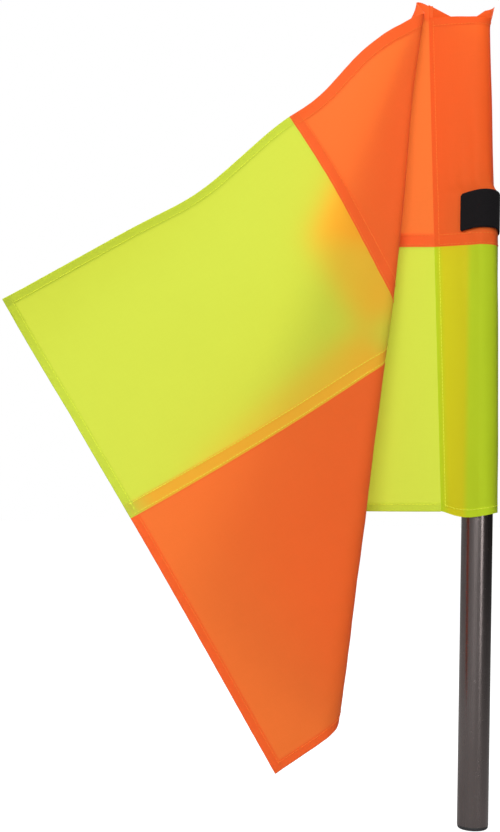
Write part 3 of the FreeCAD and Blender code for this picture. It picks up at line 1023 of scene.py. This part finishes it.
# the rows that close the sleeve, one on each face, beside its tip
CLOSING_INSET = 4 * MM
for face, share in (("front", CLOSING_INSET / LOOP), ("back", 1 - CLOSING_INSET / LOOP)):
    for level, run, material in (
        ("upper", (3 * MM, UPPER), ORANGE_THREAD),
        ("lower", (UPPER, HOIST - 3 * MM), YELLOW_THREAD),
    ):
        row = stitches(f"sleeve_closing_{face}_{level}", sleeve_at, line_down(share), run, faces=(1,))
        add_to_sleeve(level, row, material)
        if (face, level) == ("front", "upper"):
            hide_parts("sleeve_stitching")

# ------------------------------ strap
TAPE_START = math.radians(55)
STRAP_BOW = 3.4 * MM
ROUND_STEPS = 36
STRAIGHT_STEPS = 12


def strap_leave():
    """Where the strap leaves the pole's round: the angle there, and the slope of its straight run."""
    end = math.acos(GRIP_RADIUS / stitch_x(STRAP_MIDDLE))
    return end, math.tan(end - math.pi / 2)


def strap_path(side, first, later):
    """The strap's middle line round the sleeve, seen from above, as points and outward normals."""
    end, slope = strap_leave()
    start = STRAP_HINGE_GAP / GRIP_RADIUS
    points = []
    normals = []
    for number in range(ROUND_STEPS + 1):
        turn = start + (end - start) * number / ROUND_STEPS
        grown = float(smooth_step((turn - start) / (TAPE_START - start)))
        radius = GRIP_RADIUS + first + (later - first) * grown + STRAP_THICK / 2
        normal = (math.cos(turn), side * math.sin(turn))
        points.append((radius * normal[0], radius * normal[1]))
        normals.append(normal)
    leave = points[-1]
    for number in range(1, STRAIGHT_STEPS + 1):
        x = leave[0] + (-STRAP_TIP - leave[0]) * number / STRAIGHT_STEPS
        points.append((x, leave[1] - side * (leave[0] - x) * slope))
        normals.append(normals[ROUND_STEPS])
    return np.array(points), np.array(normals)


def webbing(name, side, first, later):
    """A woven tape with rounded selvedges and ribs, swept round the sleeve."""
    edge = 0.9 * MM
    rib_pitch = 1.5 * MM
    rib_height = 0.05 * MM
    corner = 1.5 * MM
    path, normals = strap_path(side, first, later)
    steps = np.linalg.norm(np.diff(path, axis=0), axis=1)
    run = np.concatenate([[0], np.cumsum(steps)])
    half = STRAP_WIDTH / 2
    across = np.linspace(-half, half, 61)
    selvedge = np.clip((half - np.abs(across)) / edge, 0, 1)
    thick = STRAP_THICK / 2 * np.sqrt(1 - (1 - selvedge) ** 2 * 0.85)
    rib = rib_height * np.cos(2 * math.pi * across / rib_pitch) * (selvedge >= 1)
    rings = []
    flats = []
    for (x, y), (nx, ny), s in zip(path, normals, run):
        bow = -STRAP_BOW * (2 * s / run[-1] - 1) ** 2
        # the free end is cut square and its corners are a little rounded
        from_end = run[-1] - s
        narrowed = half - corner * max(0.0, 1 - from_end / corner) ** 2
        scale = narrowed / half
        for face in (1, -1):
            order = across if face > 0 else across[::-1]
            stand = (thick + rib) * face
            stand = stand if face > 0 else stand[::-1]
            middle = STRAP_MIDDLE + STRAP_BOW / 2 + bow
            ring = [(x + nx * d, y + ny * d, middle + z * scale) for z, d in zip(order, stand)]
            rings.append(ring)
            flats.append([(z, s, 0.0) for z in order])
    count = 2 * len(across)
    points = np.array(rings).reshape(len(path), count, 3)
    flat = np.array(flats).reshape(len(path), count, 3)
    faces = []
    for row in range(len(path) - 1):
        for column in range(count):
            following = (column + 1) % count
            low = row * count
            high = low + count
            face = (low + column, low + following, high + following, high + column)
            faces.append(face if side > 0 else face[::-1])
    first_cap = tuple(range(count))
    last_cap = tuple((len(path) - 1) * count + number for number in range(count))
    faces.append(first_cap[::-1] if side > 0 else first_cap)
    faces.append(last_cap if side > 0 else last_cap[::-1])
    return make_mesh(name, points.reshape(-1, 3), faces, flat.reshape(-1, 3))


flap = webbing("strap_flap_webbing", -1, 0.3 * MM, 1.2 * MM)
dress(flap, WEBBING)
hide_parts("strap_flap")
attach(flap, "strap_end")
band = webbing("strap_band_webbing", 1, 0.0, 0.0)
dress(band, WEBBING)
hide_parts("strap_band")
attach(band, "sleeve")


def band_at(run, down, off):
    """Points on the back strap's outer face. run is measured along x towards the tip."""
    end, slope = strap_leave()
    radius = GRIP_RADIUS + STRAP_THICK
    away_x = math.cos(end)
    away_y = math.sin(end)
    x = -run
    y = radius * away_y + (x - radius * away_x) * slope
    return np.stack([x + away_x * off, y + away_y * off, STRAP_MIDDLE + down], axis=-1)


BOX_FAR = 15.6 * MM
BOX_NEAR = 9.3 * MM
BOX_TALL = 12 * MM
CROSS_PITCH = 0.9 * MM
BOX_PITCH = 2.4 * MM


def cross_line(run):
    return run, (run - (BOX_NEAR + BOX_FAR) / 2) * 2 * BOX_TALL / (BOX_FAR - BOX_NEAR)


for name, line, run in (
    ("far", line_down(BOX_FAR), (-BOX_TALL, BOX_TALL)),
    ("near", line_down(BOX_NEAR), (-BOX_TALL, BOX_TALL)),
    ("top", line_along(BOX_TALL), (BOX_NEAR, BOX_FAR)),
    ("foot", line_along(-BOX_TALL), (BOX_NEAR, BOX_FAR)),
    ("cross", cross_line, (BOX_NEAR, BOX_FAR)),
):
    pitch = CROSS_PITCH if name == "cross" else BOX_PITCH
    row = stitches(f"strap_box_{name}", band_at, line, run, faces=(1,), pitch=pitch)
    dress(row, BLACK_THREAD)
    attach(row, "sleeve")
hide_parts("strap_stitching")

# ------------------------------ nodes that keep their CAD shape
for name, material in (
    ("pole_tube", METAL),
    ("pole_foot_plug", PLUG),
    ("pole_top_plug", PLUG),
    ("strap_loop_patch", LOOP_TAPE),
    ("strap_hook_patch", HOOK_TAPE),
):
    dress(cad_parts[name], material)

# ------------------------------ stage, light and camera
FLOOR_RADIUS = 30.0
FLOOR_SIDES = 96
turns = [2 * math.pi * number / FLOOR_SIDES for number in range(FLOOR_SIDES)]
ring = [(FLOOR_RADIUS * math.cos(turn), FLOOR_RADIUS * math.sin(turn), 0) for turn in turns]
floor = make_mesh("floor", ring, [tuple(range(FLOOR_SIDES))])
floor_look, tree = new_material("floor_look")
base = mixed(tree, noise_of(tree, object_vector(tree), 3.0), (0.20, 0.20, 0.20), (0.22, 0.22, 0.22))
surface = surface_of(tree, base, None, 0.9, specular=0.0)
surface.inputs["Emission Color"].default_value = (1, 1, 1, 1)


def across_of(tree, vector, slope, middle, least, most):
    """A number that changes evenly across the scene, between a least and a most."""
    across = tree.nodes.new("ShaderNodeSeparateXYZ")
    feed(tree, vector, across.inputs[0])
    number = weighted(tree, middle, (across.outputs["X"], slope))
    return math_of(tree, "MINIMUM", math_of(tree, "MAXIMUM", number, least), most)


# the floor looks as white as the backdrop, and lights the object only softly, less from the right
soft = across_of(tree, object_vector(tree), -0.25, 0.15, 0.0, 0.22)
ray = tree.nodes.new("ShaderNodeLightPath")
strength = tree.nodes.new("ShaderNodeMix")
feed(tree, ray.outputs["Is Camera Ray"], strength.inputs["Factor"])
feed(tree, soft, strength.inputs["A"])
strength.inputs["B"].default_value = 1.0
feed(tree, strength.outputs["Result"], surface.inputs["Emission Strength"])
finish_surface(tree, surface)
floor.data.materials.append(floor_look)


def area_light(name, place, target, size, power):
    data = bpy.data.lights.new(name, "AREA")
    data.shape = "RECTANGLE"
    data.size, data.size_y = size
    data.energy = power
    light = bpy.data.objects.new(name, data)
    light.location = place
    aim = Vector(target) - Vector(place)
    light.rotation_euler = aim.to_track_quat("-Z", "Y").to_euler()
    bpy.context.scene.collection.objects.link(light)


MIDDLE = (-0.15, 0.0, 0.35)
UPPER_MIDDLE = (-0.12, 0.0, 0.48)
area_light("key", (-0.6, -2.4, 1.5), UPPER_MIDDLE, (1.5, 1.5), 75)
area_light("strip", (0.95, -1.75, 0.6), MIDDLE, (0.34, 1.4), 7)
area_light("back", (-0.35, 1.5, 1.7), UPPER_MIDDLE, (1.2, 1.2), 20)
area_light("top", (0.0, 0.2, 2.4), UPPER_MIDDLE, (1.5, 1.5), 28)

world = bpy.data.worlds.new("studio")
bpy.context.scene.world = world
world.use_nodes = True
tree = world.node_tree
tree.nodes.clear()
# the camera sees plain white, and the object is lit less from the right
seen = tree.nodes.new("ShaderNodeBackground")
seen.inputs["Color"].default_value = (1, 1, 1, 1)
lit = tree.nodes.new("ShaderNodeBackground")
direction = tree.nodes.new("ShaderNodeTexCoord")
side = across_of(tree, direction.outputs["Generated"], -0.9, 0.55, 0.02, 0.8)
shade = tree.nodes.new("ShaderNodeCombineXYZ")
for socket in shade.inputs:
    feed(tree, side, socket)
feed(tree, shade.outputs[0], lit.inputs["Color"])
lit.inputs["Strength"].default_value = 0.5
path = tree.nodes.new("ShaderNodeLightPath")
both = tree.nodes.new("ShaderNodeMixShader")
feed(tree, path.outputs["Is Camera Ray"], both.inputs["Fac"])
feed(tree, lit.outputs["Background"], both.inputs[1])
feed(tree, seen.outputs["Background"], both.inputs[2])
output = tree.nodes.new("ShaderNodeOutputWorld")
feed(tree, both.outputs["Shader"], output.inputs["Surface"])

scene = bpy.context.scene
scene.view_settings.view_transform = "Standard"
camera_data = bpy.data.cameras.new("camera")
camera_data.sensor_width = 36
camera_data.lens = 52.75
# the camera is level at the height of the sleeve's hem, and its frame is shifted up and rolled
camera_data.shift_y = 99 / 832
camera = bpy.data.objects.new("camera", camera_data)
camera.location = (-183.1 * MM, -983 * MM, 249.7 * MM)
camera.rotation_mode = "QUATERNION"
LEVEL = Vector((0, 1, 0)).to_track_quat("-Z", "Y")
camera.rotation_quaternion = LEVEL @ Quaternion((0, 0, 1), math.radians(0.856))
scene.collection.objects.link(camera)
scene.camera = camera
